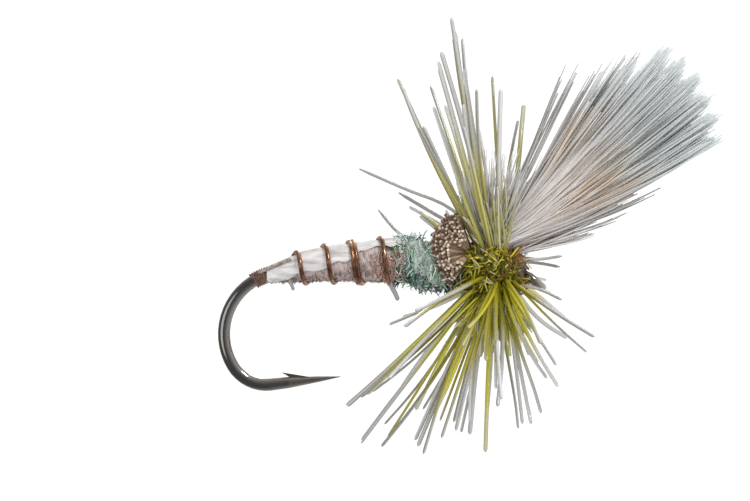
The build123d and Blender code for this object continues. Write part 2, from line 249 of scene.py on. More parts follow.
# ---- materials
class Shader:
    """A node material that is built up in a few calls."""

    def __init__(self, name):
        self.material = bpy.data.materials.new(name + "_look")
        self.material.use_nodes = True
        self.nodes = self.material.node_tree.nodes
        self.links = self.material.node_tree.links
        self.surface = self.nodes["Principled BSDF"]

    def set(self, **values):
        for key, value in values.items():
            socket = self.surface.inputs[key.replace("_", " ")]
            socket.default_value = (*value, 1.0) if isinstance(value, tuple) else value
        return self

    def node(self, kind, **values):
        node = self.nodes.new(kind)
        for key, value in values.items():
            if key in node.inputs:
                node.inputs[key].default_value = value
            else:
                setattr(node, key, value)
        return node

    def noise(self, scale, detail=3.0, stretch=(1.0, 1.0, 1.0)):
        """Noise over the piece, with its scale per metre."""
        texture = self.node("ShaderNodeTexNoise", Scale=scale, Detail=detail)
        where = self.node("ShaderNodeTexCoord")
        mapping = self.node("ShaderNodeMapping")
        mapping.inputs["Scale"].default_value = stretch
        self.links.new(where.outputs["Object"], mapping.inputs["Vector"])
        self.links.new(mapping.outputs["Vector"], texture.inputs["Vector"])
        return texture.outputs["Fac"]

    def ramp(self, value, stops):
        ramp = self.node("ShaderNodeValToRGB")
        elements = ramp.color_ramp.elements
        while len(elements) < len(stops):
            elements.new(0.5)
        for element, (place, colour) in zip(elements, stops):
            element.position, element.color = place, (*colour, 1.0)
        self.links.new(value, ramp.inputs["Fac"])
        return ramp.outputs["Color"]

    def tint(self):
        return self.node("ShaderNodeAttribute", attribute_name="tint").outputs["Color"]

    def darken(self, colour, shade, amount):
        """The colour multiplied by a share of the shade."""
        mix = self.node("ShaderNodeMix", data_type="RGBA", blend_type="MULTIPLY")
        mix.inputs[0].default_value = amount
        self.links.new(colour, mix.inputs[6])
        self.links.new(shade, mix.inputs[7])
        return mix.outputs[2]

    def to(self, socket, value):
        self.links.new(value, self.surface.inputs[socket])
        return self

    def range_to(self, socket, value, low, high):
        scale = self.node("ShaderNodeMapRange")
        scale.inputs["To Min"].default_value, scale.inputs["To Max"].default_value = low, high
        self.links.new(value, scale.inputs["Value"])
        return self.to(socket, scale.outputs["Result"])

    def bump(self, value, height_mm, strength=0.6):
        bump = self.node("ShaderNodeBump", Strength=strength, Distance=height_mm * MM)
        self.links.new(value, bump.inputs["Height"])
        return self.to("Normal", bump.outputs["Normal"])


def fibre_material(name, roughness, shine=0.5, coat=0.0, sheen=0.0, grain=9000, contrast=0.45):
    """Hair, feather or dubbing: the tube's tint, which holds painted shade at the narrow edges of squeezed
    tubes, broken up by fine grain, with the gloss of keratin.
    """
    shader = Shader(name).set(Specular_IOR_Level=shine, Coat_Weight=coat, Coat_Roughness=0.18)
    shader.set(Sheen_Weight=sheen, Sheen_Roughness=0.4)
    speckle = shader.noise(grain, 4.0)
    shade = shader.ramp(speckle, [(0.3, (0.55, 0.55, 0.55)), (0.7, (1.0, 1.0, 1.0))])
    shader.to("Base Color", shader.darken(shader.tint(), shade, contrast))
    shader.range_to("Roughness", speckle, roughness - 0.1, roughness + 0.12)
    shader.bump(speckle, 0.012)
    return shader.material


def hook_material():
    """Blackened steel wire with a deep polish and faint brown in the black."""
    shader = Shader("hook_wire").set(Metallic=1.0)
    dark, brown = srgb(158, 157, 156), srgb(168, 160, 148)
    shader.to("Base Color", shader.ramp(shader.noise(700, 2.0), [(0.35, dark), (0.7, brown)]))
    shader.range_to("Roughness", shader.noise(3000, 3.0), 0.06, 0.16)
    shader.bump(shader.noise(5000, 2.0), 0.002, 0.2)
    return shader.material


def copper_material():
    """Bright copper wire with brown tarnish."""
    shader = Shader("copper_wire").set(Metallic=0.85)
    tarnish = shader.noise(2400, 4.0)
    stops = [(0.3, srgb(92, 62, 46)), (0.5, srgb(146, 104, 78)), (0.75, srgb(204, 164, 134))]
    shader.to("Base Color", shader.ramp(tarnish, stops))
    shader.range_to("Roughness", tarnish, 0.36, 0.2)
    shader.bump(shader.noise(7000, 2.0), 0.006, 0.4)
    return shader.material


def grained(name, grain, stops, roughness, bump, **look):
    """A material whose colour, roughness and bump all follow one noise."""
    shader = Shader(name).set(**look)
    value = shader.noise(*grain)
    shader.to("Base Color", shader.ramp(value, stops))
    shader.range_to("Roughness", value, *roughness)
    shader.bump(value, *bump)
    return shader.material


def thread_material(name, dark, light):
    """Waxed tying thread, with the fine twist of its fibres."""
    look = {"Specular_IOR_Level": 0.45, "Sheen_Weight": 0.25, "Sheen_Roughness": 0.4}
    return grained(name, (8000, 3.0), [(0.3, dark), (0.7, light)], (0.5, 0.72), (0.02,), **look)


def film_material():
    """The shellback: a pale strip of film, nearly white, streaked along its length."""
    look = {"Specular_IOR_Level": 0.4, "Coat_Weight": 0.15, "Coat_Roughness": 0.2}
    stops = [(0.3, srgb(166, 162, 160)), (0.5, srgb(202, 198, 196)), (0.72, srgb(230, 228, 226))]
    return grained("shellback_film", (2600, 4.0, (0.25, 1.6, 1.6)), stops, (0.35, 0.55), (0.02,), **look)


def body_material(name, stops, scale):
    """A matted core of fibres under the loose ones."""
    look = {"Specular_IOR_Level": 0.3, "Sheen_Weight": 0.3, "Sheen_Roughness": 0.5}
    return grained(name, (scale, 5.0, (1.8, 0.8, 0.8)), stops, (0.65, 0.9), (0.06, 0.8), **look)


def cement_material():
    """A glossy coat of dark lacquer, slightly uneven."""
    shader = Shader("head_cement").set(Specular_IOR_Level=0.6, Coat_Weight=1.0, Coat_Roughness=0.08)
    stops = [(0.3, srgb(64, 52, 54)), (0.5, srgb(98, 84, 84)), (0.75, srgb(138, 124, 122))]
    shader.to("Base Color", shader.ramp(shader.noise(3000, 4.0), stops))
    shader.range_to("Roughness", shader.noise(4000, 3.0), 0.15, 0.35)
    shader.bump(shader.noise(2600, 2.0), 0.02, 0.4)
    return shader.material


def finish_piece(piece, material, slot, *nodes):
    """Gives a new piece its material and body, and hides the CAD nodes it stands for. The slot is not used.
    """
    piece.data.materials.append(material)
    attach(piece, BODY)
    if nodes:
        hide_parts(*nodes)
    return piece


def recolour_node(node, material):
    """A better material on a CAD node that stays as it is."""
    piece = bpy.data.objects[node]
    for slot in piece.material_slots:
        slot.material = material


# ---- hackle
# Where the tips of the longest barbs lie, seen from the side: x and z of each.
TIPS_BELOW = [
    (-9.30, -6.30), (-8.60, -6.00), (-8.00, -5.75), (-8.55, -7.95), (-7.55, -8.35), (-7.45, -7.20),
    (-5.80, -6.70), (-5.75, -8.35), (-5.50, -8.70), (-4.50, -8.10), (-3.85, -7.35), (-3.50, -7.85),
    (-3.10, -7.85), (-2.50, -8.40), (-2.00, -6.05), (-1.05, -7.05), (-0.30, -7.45), (0.15, -7.05),
    (0.30, -4.60), (0.90, -5.05), (0.75, -4.00), (2.25, -3.40), (2.60, -2.65), (-7.15, -2.35),
    (-6.45, -1.95),
]
TIPS_ABOVE = [
    (-4.10, 13.10), (-3.95, 12.20), (-3.55, 12.10), (-4.60, 11.40), (-4.75, 10.60), (-6.80, 10.10),
    (-6.55, 9.60), (-5.05, 9.80), (-5.05, 8.50), (-1.95, 10.30), (-0.30, 8.90), (-2.90, 9.40),
    (-3.60, 8.60),
]
REARMOST_TIP = -9.5
TIPS_SPAN = 12.0
BARB_RINGS = 15
BARB_R = 0.112
BARB_TAPER = [(0, 0.8), (0.1, 1.0), (0.6, 0.92), (0.94, 0.85), (1.0, 0.35)]
# Colours along a barb. The places are shares of the way to where its green fades.
BRIGHT_BARB = [
    (0, OLIVE), (0.4, OLIVE_BRIGHT), (0.85, OLIVE_BRIGHT),
    (1.1, OLIVE_PALE), (1.35, BARB_GREY), (2.2, BARB_TIP),
]
DULL_BARB = [(0, OLIVE_DARK), (0.5, OLIVE), (0.9, OLIVE), (1.2, BARB_GREY), (2.2, BARB_TIP)]
BARBULES_PER_BARB = 12
BARBULES_SPAN = (0.04, 0.45)
BARBULE_R = 0.018


def barb_roots(tips, pick, reach):
    """Roots at a radius of reach round the quill, fanned along it so that barbs hardly cross."""
    share = np.clip((tips[:, 0] - REARMOST_TIP) / TIPS_SPAN, 0, 1)
    inset = 0.15
    x = COLLAR_X[0] + inset + (COLLAR_X[1] - COLLAR_X[0] - 2 * inset) * share
    x = x + pick.normal(0, 0.10, len(tips))
    out = unit(tips[:, 1:] - [0.0, COLLAR_Z])
    return np.column_stack([x, out[:, 0] * reach, COLLAR_Z + out[:, 1] * reach])


def barb_lines(tips, seed, bow):
    """Barbs from the quill to their tips. Each bows sideways by a share of its length."""
    pick = np.random.default_rng(seed)
    roots = barb_roots(tips, pick, 0.5)
    length = np.linalg.norm(tips - roots, axis=1, keepdims=True)
    middle = roots + (tips - roots) * 0.45 + pick.normal(0, bow, tips.shape) * length
    lines = wavy(curves(roots, middle, tips, BARB_RINGS), 0.03, seed + 1)
    return blunt(lines)


def blunt(lines):
    """The same lines with the last ring but one moved close to the end, so that it can be rounded off."""
    lines[:, -2] = lines[:, -1] * 0.9 + lines[:, -3] * 0.1
    return lines


def barb_tints(count, seed, green_until, pale):
    """Olive from the root, fading to warm grey at the tip. pale washes the colour out."""
    pick = np.random.default_rng(seed)
    t = np.linspace(0, 1, BARB_RINGS)[None, :]
    faded = t / np.clip(pick.normal(green_until, 0.17, (count, 1)), 0.2, 0.9)
    bright = pick.uniform(0, 1, (count, 1, 1))
    tints = blend_colours(BRIGHT_BARB, faded) * bright + blend_colours(DULL_BARB, faded) * (1 - bright)
    return varied(tints * (1 - pale) + np.array(PALE_WASH) * pale, pick, 0.10)


def barb_radii(count, seed, scale=1.0):
    """Nearly the same thickness all along, with a rounded blunt tip."""
    return fibre_radii(BARB_R * scale, BARB_TAPER, BARB_RINGS, count, np.random.default_rng(seed), 0.10)


def spread_sideways(tips, seed, length=9.5, least=0.3):
    """Gives barbs that look short from the side the depth that makes them all about as long."""
    pick = np.random.default_rng(seed)
    seen = np.hypot(tips[:, 0] - COLLAR_MIDDLE_X, tips[:, 1] - COLLAR_Z)
    real = length * np.exp(pick.normal(0, 0.04, len(tips)))
    depth = np.sqrt(np.maximum(real**2 - seen**2, least)) * np.sign(pick.normal(0, 1, len(tips)))
    return np.column_stack([tips[:, 0], depth, tips[:, 1]])


def with_company(tips, seed, shorten):
    """Each tip, and another a little shorter and off to one side of it."""
    pick = np.random.default_rng(seed)
    centre = np.array([COLLAR_MIDDLE_X, COLLAR_Z])
    scale = 1 - pick.uniform(0, shorten, (len(tips), 1))
    return np.concatenate([tips, centre + (tips - centre) * scale + pick.normal(0, 0.30, tips.shape)])


def barbules(lines, tints, seed):
    """The short fibres that fringe a barb in its lower half."""
    pick = np.random.default_rng(seed)
    count, rings = len(lines) * BARBULES_PER_BARB, 4
    barb = np.repeat(np.arange(len(lines)), BARBULES_PER_BARB)
    at = pick.uniform(*BARBULES_SPAN, count) * (BARB_RINGS - 1)
    low = at.astype(int)
    share = (at - low)[:, None]
    starts = lines[barb, low] * (1 - share) + lines[barb, low + 1] * share
    along = unit(lines[barb, low + 1] - lines[barb, low])
    out = unit(np.cross(along, pick.normal(0, 1, (count, 3))))
    length = pick.uniform(0.14, 0.34, (count, 1))
    ends = starts + (along * 0.75 + out * 0.5) * length
    pulls = starts + (along * 0.25 + out * 0.40) * length
    radii = np.array([[1.0, 0.8, 0.6, 0.3]]) * np.full((count, 1), BARBULE_R)
    colour = np.repeat(tints[barb, low][:, None], rings, axis=1)
    return curves(starts, pulls, ends, rings), radii, varied(colour * 1.15, pick, 0.2)


def make_barbs(name, tips, seed, material, node, green_until=0.55, scale=1.0, pale=0.0):
    """Whole barbs with their fringe, in the place of a CAD node."""
    lines = barb_lines(tips, seed, 0.03)
    radii = barb_radii(len(tips), seed + 2, scale)
    tints = barb_tints(len(tips), seed + 3, green_until, pale)
    roll = np.random.default_rng(seed + 4).uniform(0, np.pi, len(tips))
    # rim paints shade on the narrow edges of each barb.
    piece = tubes(name, lines, radii, tints, corners=8, flat=0.8, roll=roll, rim=0.55)
    finish_piece(piece, material, "hackle_fibre", node)
    fringe = tubes(name + "_fringe", *barbules(lines, tints, seed + 5), corners=3)
    finish_piece(fringe, material, "hackle_fibre")


def make_hackle():
    """All barbs that fan out from the quill. Gives their material back."""
    material = fibre_material("hackle_fibre", 0.24, shine=0.6, coat=0.6, grain=11000, contrast=0.25)
    below = spread_sideways(with_company(np.array(TIPS_BELOW), 11, 0.2), 12)
    make_barbs("hackle_barbs_low", below, 20, material, "hackle_barbs_below")
    above = spread_sideways(with_company(np.array(TIPS_ABOVE), 32, 0.25), 33, length=11.0, least=1.0)
    above[:, 1] *= 0.5
    look = {"green_until": 0.65, "scale": 1.1, "pale": 0.2}
    make_barbs("hackle_barbs_high", above, 40, material, "hackle_barbs_above", **look)
    sides, green = side_tips()
    make_barbs("hackle_barbs_out", sides, 60, material, "hackle_barbs_sides", green_until=green)
    make_clump("hackle_clump_low", 210, (-38, 34), 0, (1.6, 4.8), 0.62, 66, material, 0.95)
    make_clump("hackle_clump_high", 130, (-30, 20), 180, (2.0, 5.6), 0.6, 68, material, 0.8, pale=0.42)
    return material


def swung_tips(x, lean, roll, length):
    """Tips of barbs that lean forward from straight down and turn from there towards the near side."""
    return np.column_stack([
        x + np.sin(lean) * length,
        -np.sin(roll) * np.cos(lean) * length,
        COLLAR_Z - np.cos(roll) * np.cos(lean) * length,
    ])


def side_tips():
    """Tips of the barbs that stand out at the sides, and how far each stays green. One in five is on the
    near side, and hangs low there."""
    pick = np.random.default_rng(51)
    count = 30
    near = np.arange(count) % 5 == 0
    lean = np.radians(np.where(near, pick.uniform(-18, 0, count), pick.uniform(-38, 24, count)))
    roll = np.radians(np.where(near, pick.uniform(50, 70, count), pick.uniform(-124, -78, count)))
    length = pick.normal(7.5, 0.3, count)
    return swung_tips(COLLAR_MIDDLE_X, lean, roll, length), np.where(near, 0.95, 0.42)[:, None]


def make_clump(name, count, leans, middle, lengths, scale, seed, material, green_until, pale=0.0):
    """Short webby barbs that crowd the collar on both sides of middle, the way round from straight down."""
    pick = np.random.default_rng(seed)
    lean = np.radians(pick.uniform(*leans, count))
    side = np.where(pick.uniform(0, 1, count) < 0.5, 1, -1)
    roll = -np.radians(middle + side * pick.uniform(8, 30, count))
    length = pick.uniform(*lengths, count) * (1 - 0.35 * np.abs(np.sin(lean)))
    lines = barb_lines(swung_tips(COLLAR_MIDDLE_X - 0.05, lean, roll, length), seed + 1, 0.07)
    radii = barb_radii(count, seed + 2, scale)
    tints = barb_tints(count, seed + 3, green_until, pale)
    turned = pick.uniform(0, np.pi, count)
    # rim paints shade on the narrow edges of each barb.
    piece = tubes(name, lines, radii, tints, corners=6, flat=0.7, rim=0.45, roll=turned)
    finish_piece(piece, material, "hackle_fibre")


# ---- stage
def floor_material():
    """Pale and matt. It glows white for the camera, and a little less for the surfaces it lights."""
    glow_on_surfaces = 0.85
    shader = Shader("floor").set(Roughness=0.9, Specular_IOR_Level=0.1, Emission_Color=(1.0, 1.0, 1.0))
    stops = [(0.0, srgb(96, 96, 97)), (1.0, srgb(104, 104, 104))]
    shader.to("Base Color", shader.ramp(shader.noise(6.0), stops))
    rays = shader.node("ShaderNodeLightPath")
    glow = shader.node("ShaderNodeMath", operation="MULTIPLY_ADD")
    glow.inputs[1].default_value = glow_on_surfaces
    shader.links.new(rays.outputs["Is Diffuse Ray"], glow.inputs[0])
    shader.links.new(rays.outputs["Is Camera Ray"], glow.inputs[2])
    return shader.to("Emission Strength", glow.outputs[0]).material


def make_stage():
    """A pale floor that sweeps up behind, far enough off to throw no shadow into the picture."""
    front, depth, rise, bend, half, floor_z, steps = -0.7, 0.9, 0.9, 0.35, 1.4, -0.032, 12
    profile = [(front, 0.0)]
    for step in range(steps + 1):
        angle = math.pi / 2 * step / steps
        profile.append((depth - bend + bend * math.sin(angle), bend - bend * math.cos(angle)))
    profile.append((depth, rise))
    points = [(x, y, floor_z + z) for x in (-half, half) for y, z in profile]
    n = len(profile)
    faces = [(i, i + 1, n + i + 1, n + i) for i in range(n - 1)]
    floor = add_object("floor", smooth_mesh("floor", points, faces))
    floor.data.materials.append(floor_material())
    floor.visible_glossy = False


def make_world():
    """A pale studio. Matt surfaces see even light from all round. For polished ones the left and front are
    dark, so that wire keeps a dark core with a brighter rim on its right."""
    bright_side, dark, light = (0.85, 0.8, 0.25), (0.12, 0.12, 0.124), (1.0, 1.0, 1.0)
    even_light = (0.96, 0.96, 0.97)
    world = bpy.data.worlds.new("studio")
    bpy.context.scene.world = world
    world.use_nodes = True
    nodes, links = world.node_tree.nodes, world.node_tree.links
    where = nodes.new("ShaderNodeTexCoord")
    toward_light = nodes.new("ShaderNodeVectorMath")
    toward_light.operation = "DOT_PRODUCT"
    toward_light.inputs[1].default_value = bright_side
    links.new(where.outputs["Generated"], toward_light.inputs[0])
    share = nodes.new("ShaderNodeMapRange")
    share.inputs["From Min"].default_value, share.inputs["From Max"].default_value = -0.85, 1.0
    links.new(toward_light.outputs["Value"], share.inputs["Value"])
    ramp = nodes.new("ShaderNodeValToRGB")
    for element, colour in zip(ramp.color_ramp.elements, (dark, light)):
        element.color = (*colour, 1)
    links.new(share.outputs["Result"], ramp.inputs["Fac"])
    even = nodes.new("ShaderNodeMix")
    even.data_type = "RGBA"
    even.inputs[6].default_value = (*even_light, 1)
    links.new(nodes.new("ShaderNodeLightPath").outputs["Is Glossy Ray"], even.inputs[0])
    links.new(ramp.outputs["Color"], even.inputs[7])
    links.new(even.outputs[2], nodes["Background"].inputs["Color"])


def make_light(name, at, size, power):
    """A round lamp that faces the fly."""
    data = bpy.data.lights.new(name, "AREA")
    data.shape, data.size, data.energy = "DISK", size, power
    point(add_object(name, data), at, (-0.0035, 0.0, 0.001))


def point(thing, at, aim):
    """Stands a light or camera at a place, in metres, and turns it to aim."""
    thing.location = at
    thing.rotation_euler = (Vector(aim) - Vector(at)).to_track_quat("-Z", "Y").to_euler()


def make_lights():
    make_light("key", (0.14, -0.16, 0.20), 0.06, 0.38)
    make_light("fill", (-0.20, -0.24, 0.02), 0.20, 0.10)
    make_light("rim", (0.05, 0.22, 0.20), 0.12, 0.22)


def make_camera():
    """A long lens level with the fly, square on to its right side."""
    view_width, lens, sensor = 0.0375, 180.0, 36.0
    middle_x, middle_z = -0.0079, 0.001475
    data = bpy.data.cameras.new("camera")
    data.lens, data.sensor_width = lens, sensor
    data.clip_start, data.clip_end = 0.01, 10.0
    camera = add_object("camera", data)
    point(camera, (middle_x, -view_width * lens / sensor, middle_z), (middle_x, 0.0, middle_z))
    bpy.context.scene.camera = camera
    bpy.context.scene.view_settings.view_transform = "Standard"


# ---- wing
# How far the hairs reach at each angle above level, seen from the side.
WING_REACH = [
    (18, 4.5), (22, 6.0), (25, 7.6), (27, 9.8), (28, 12.6), (32, 13.2), (38, 13.4), (45, 13.7),
    (51, 13.7), (54, 12.4), (59, 12.0), (64, 10.8),
]
# Strands that stand clear of the wing, above it and below: the angle and the reach of each.
WING_STRANDS = [
    (70.6, 9.9), (67.0, 10.2), (62.4, 10.6), (58.0, 11.6), (55.7, 12.5),
    (22.8, 8.8), (18.4, 6.6), (13.5, 4.9),
]
WING_ROOT = np.array([-1.70, 0.0, 1.15])
# The hairs draw together into tufts at their tips: the angle of the lowest one and the angle between two.
TUFT_FIRST = 28.2
TUFT_STEP = 4.6
WING_MIDDLE = 42
WING_LENGTH = 13.2
# Colours along the hairs of the wing.
GREY_HAIR = [(0, TAUPE_DARK), (0.22, TAUPE), (0.70, TAUPE), (0.8, HAIR_PALE), (1.0, HAIR_PALE)]
TAN_HAIR = [
    (0, TAUPE_DARK), (0.22, TAUPE), (0.46, TAUPE), (0.60, TAN), (0.72, HAIR_PALE), (1.0, HAIR_PALE),
]
DARK_HAIR = [
    (0, TAUPE_DARK), (0.35, srgb(188, 180, 176)), (0.64, srgb(192, 170, 148)), (0.8, HAIR_PALE),
    (1.0, HAIR_PALE),
]
FINE_HAIR = [
    (0, TAUPE), (0.6, TAUPE), (0.72, srgb(120, 112, 100)), (0.9, HAIR_DARK_TIP), (1.0, HAIR_PALE),
]
STRAND_HAIR = [(0, TAUPE), (0.7, srgb(186, 182, 179)), (1.0, srgb(172, 172, 170))]
BASE_HAIR = [(0, TAUPE_DARK), (0.3, TAUPE), (1.0, srgb(204, 202, 198))]


def make_wing():
    """The bunch of hairs that rakes forward over the eye."""
    pick = np.random.default_rng(71)
    count, rings = 1600, 12
    spread, edge = count * 3 // 5, count // 5
    angle = np.clip(np.concatenate([
        pick.normal(WING_MIDDLE, 7.5, spread),
        pick.uniform(25, 58, count - spread - edge),
        pick.uniform(27.5, 53, edge),
    ]), 20, 60.5)
    # A third of the hairs lie close together on the near face, and the rest fill an oval behind them.
    near_face = pick.uniform(0, 1, count) < 0.35
    sideways = np.where(near_face, pick.normal(-8, 0.9, count), pick.uniform(-7.5, 8.5, count))
    oval = np.sqrt(np.maximum(0.12, 1 - ((angle - WING_MIDDLE) / 24) ** 2))
    short = pick.beta(0.9, 4.5, count) * 0.5
    short[-edge:] *= 0.2
    tuft = TUFT_FIRST + TUFT_STEP * np.round((angle - TUFT_FIRST) / TUFT_STEP)
    off_tuft = 0.14 * np.abs(tuft - angle) / TUFT_STEP
    reach = np.interp(angle, *zip(*WING_REACH)) * (1 - short) * (1 - off_tuft)
    tip_angle = angle + (tuft - angle) * 0.25
    lines = wing_lines(angle, np.radians(sideways * oval), reach, pick, rings, tip_angle)
    lines = wavy(lines, 0.13, 72, 1.5)
    profile = [(0, 0.7), (0.15, 1.0), (0.6, 0.9), (0.85, 0.8), (1.0, 0.4)]
    radii = fibre_radii(0.062, profile, rings, count, pick, 0.18)
    hair = fibre_material("deer_hair", 0.55, shine=0.2, sheen=0.1, grain=7000, contrast=0.2)
    piece = tubes("deer_hair_wing", lines, radii, wing_tints(angle, reach, rings, pick), corners=5)
    finish_piece(piece, hair, "deer_hair", "wing_hair")
    make_wing_streaks(hair)
    make_wing_base(hair)


def wing_tints(angle, reach, rings, pick):
    """Grey hairs with pale tips, tan in a patch at the middle and along the top. Some are darker."""
    count = len(angle)
    place = np.linspace(0, 1, rings) * reach[:, None] / WING_LENGTH + pick.normal(0, 0.04, (count, 1))
    dark = (pick.uniform(0, 1, (count, 1, 1)) < 0.15).astype(float)
    warm = np.exp(-((angle - 37) / 8) ** 2) + 0.8 * np.exp(-((angle - 58) / 4) ** 2)
    warm = np.clip(warm, 0, 1)[:, None, None]
    plain = blend_colours(TAN_HAIR, place) * warm + blend_colours(GREY_HAIR, place) * (1 - warm)
    return varied(plain * (1 - dark) + blend_colours(DARK_HAIR, place) * dark, pick, 0.04)


def wing_lines(angle, side_angle, reach, pick, rings, tip_angle=None):
    """Hairs that run level out of the thread band, turn up and fan out to their angles."""
    count = len(angle)
    start = np.column_stack([np.full(count, WAIST[0] + 0.1), *(pick.normal(0, 0.16, (2, count)))])
    start[:, 2] += WAIST[2]

    def fan(share, degrees, sideways):
        return WING_ROOT + fan_out(np.radians(degrees), sideways) * (reach * share)[:, None]

    level = start + np.array([0.9, 0, 0.05])
    middle = fan(0.5, angle + 0.20 * (angle - 47), side_angle * 1.05)
    tip = fan(1.0, angle if tip_angle is None else tip_angle, side_angle)
    t = np.linspace(0, 1, rings)[None, :, None]
    return (
        (1 - t) ** 3 * start[:, None] + 3 * t * (1 - t) ** 2 * level[:, None]
        + 3 * t**2 * (1 - t) * middle[:, None] + t**3 * tip[:, None]
    )


def make_wing_streaks(hair):
    """Single hairs that stand out: fine dark ones on the near face, and strands above and below the wing."""
    pick = np.random.default_rng(74)
    fine, per_strand, rings = 120, 9, 16
    strands = np.repeat(np.array(WING_STRANDS), per_strand, axis=0)
    loose = len(strands)
    loose_angle = strands[:, 0]
    angle = np.concatenate([pick.normal(WING_MIDDLE, 7, fine), loose_angle + pick.normal(0, 0.55, loose)])
    reach = np.interp(angle, *zip(*WING_REACH)) * pick.uniform(0.84, 1.0, fine + loose)
    reach[fine:] = strands[:, 1] * pick.uniform(0.86, 1.04, loose)
    side_angle = np.radians(np.concatenate([pick.normal(-7, 3, fine), pick.normal(0, 3, loose)]))
    lines = wavy(wing_lines(angle, side_angle, reach, pick, rings), 0.06, 75, 1.5)
    size = np.concatenate([np.full(fine, 0.026), np.full(loose, 0.052)])[:, None]
    radii = size * taper([(0, 1.0), (0.8, 0.9), (1.0, 0.4)], rings)
    tints = np.concatenate([tints_along(FINE_HAIR, fine, rings), tints_along(STRAND_HAIR, loose, rings)])
    piece = tubes("wing_dark_hairs", lines, radii, varied(tints, pick, 0.15), corners=6)
    finish_piece(piece, hair, "deer_hair")


def make_wing_base(hair):
    """Short soft hairs that stand up between the hackle and the wing."""
    pick = np.random.default_rng(77)
    count, rings = 260, 9
    angle = pick.uniform(66, 118, count)
    side_angle = np.radians(pick.normal(0, 12, count))
    reach = pick.uniform(2.2, 5.6, count)
    lines = wavy(wing_lines(angle, side_angle, reach, pick, rings), 0.08, 78, 1.5)
    radii = 0.05 * taper([(0, 0.9), (0.6, 0.9), (1.0, 0.3)], rings) * np.ones((count, 1))
    tints = varied(tints_along(BASE_HAIR, count, rings), pick, 0.1)
    finish_piece(tubes("wing_base_hairs", lines, radii, tints, corners=5), hair, "deer_hair")


def make_butts():
    """The wing hairs' other ends, flared by the thread and clipped to a dome, with pale cut faces."""
    pick = np.random.default_rng(81)
    rows, columns, rings, middle, dome_r = 24, 17, 9, 171, 2.36
    fan, sideways = np.meshgrid(np.linspace(110, 232, rows), np.linspace(-60, 60, columns), indexing="ij")
    fan = fan + 2.6 * (np.arange(columns) % 2)[None]
    fan = (fan + pick.normal(0, 1.2, fan.shape)).ravel()
    sideways = (sideways + pick.normal(0, 1.6, sideways.shape)).ravel()
    fan = middle + (fan - middle) * np.sqrt(np.cos(np.radians(sideways * 0.9)))
    clipped_flat = (fan > 150) & (fan < 205) & (sideways < -47)
    fan, sideways = fan[~clipped_flat], sideways[~clipped_flat]
    count = len(fan)
    length = dome_r * np.interp(np.abs(sideways), [0, 25, 60], [1.0, 0.96, 0.76])
    uneven = np.exp(pick.normal(0, 0.03, count))
    length *= np.interp(fan, [110, 125, 205, 232], [0.92, 1.0, 0.96, 0.96]) * uneven
    out = fan_out(np.radians(fan), np.radians(sideways))
    starts = WAIST + [-0.05, 0, 0] + out * 0.15
    ends = WAIST + out * length[:, None]
    pulls = starts + (ends - starts) * 0.45 + np.array([-0.10, 0, 0.03])
    lines = blunt(curves(starts, pulls, ends, rings))
    profile = [(0, 0.40), (0.5, 0.8), (0.85, 1.0), (0.95, 1.0), (1.0, 0.66)]
    radii = fibre_radii(0.092, profile, rings, count, pick, 0.08)
    stops = [(0, BUTT_DARK), (0.4, BUTT_BROWN), (0.8, BUTT_BROWN), (0.9, BUTT_DARK), (1.0, CREAM)]
    tints = varied(tints_along(stops, count, rings), pick, 0.2)
    tints[pick.uniform(0, 1, count) < 0.35, -1] = BUTT_BROWN
    piece = tubes("clipped_butts", lines, radii, tints, corners=8)
    hair = fibre_material("butt_hair", 0.5, shine=0.25, grain=8000, contrast=0.3)
    finish_piece(piece, hair, "butt_hair", "wing_butts")


# ---- round bodies
def round_body(name, stations, rings, corners, lump, seed):
    """A body of revolution with a lumpy surface, closed at both ends."""
    first, last = stations[0][0], stations[-1][0]
    points = []
    for i in range(rings):
        x = first + (last - first) * i / (rings - 1)
        z, r = outline(stations, x)
        ease = min(1.0, 4.0 * min(i, rings - 1 - i) / (rings - 1))
        r = r * (0.25 + 0.75 * math.sqrt(ease))
        for k in range(corners):
            angle = 2 * math.pi * k / corners
            direction = Vector((0, math.sin(angle), math.cos(angle)))
            bumps = noise.fractal(Vector((x * 2.2 + seed, *(direction.yz * 2.4))), 0.8, 2.0, 4)
            radius = float(r) * (1 + lump * bumps)
            points.append((x * MM, direction.y * radius * MM, (float(z) + direction.z * radius) * MM))
    faces = []
    for i in range(rings - 1):
        for k in range(corners):
            a, b = i * corners + k, i * corners + (k + 1) % corners
            faces.append((a, a + corners, b + corners, b))
    faces.append(tuple(range(corners)))
    faces.append(tuple(reversed(range((rings - 1) * corners, rings * corners))))
    return add_object(name, smooth_mesh(name, points, faces))


def on_body(stations, span, inset, count, seed):
    """Random places on a round body, with the way out of it and the way round it at each."""
    pick = np.random.default_rng(seed)
    x = pick.uniform(*span, count)
    z, r = outline(stations, x)
    angle = pick.uniform(0, 2 * np.pi, count)
    out = np.column_stack([np.zeros(count), np.sin(angle), np.cos(angle)])
    around = np.column_stack([np.zeros(count), np.cos(angle), -np.sin(angle)])
    places = np.column_stack([x, np.zeros(count), z]) + out * (r - inset)[:, None]
    return places, out, around, pick


def pick_colours(pick, count, palette):
    """One colour for each tube, from (share of the tubes, colour) pairs."""
    shares = np.array([share for share, _ in palette])
    which = pick.choice(len(palette), count, p=shares / shares.sum())
    return np.array([colour for _, colour in palette])[which]


THORAX_SOFT = [(2.5, SLATE), (2.5, MINT), (2.5, GREEN), (1.5, SILVER), (1.5, TEAL), (0.8, NAVY)]
THORAX_VIVID = [(3, srgb(52, 132, 116)), (1.5, MINT), (2.5, NAVY), (2.5, SILVER), (1.5, GREEN)]


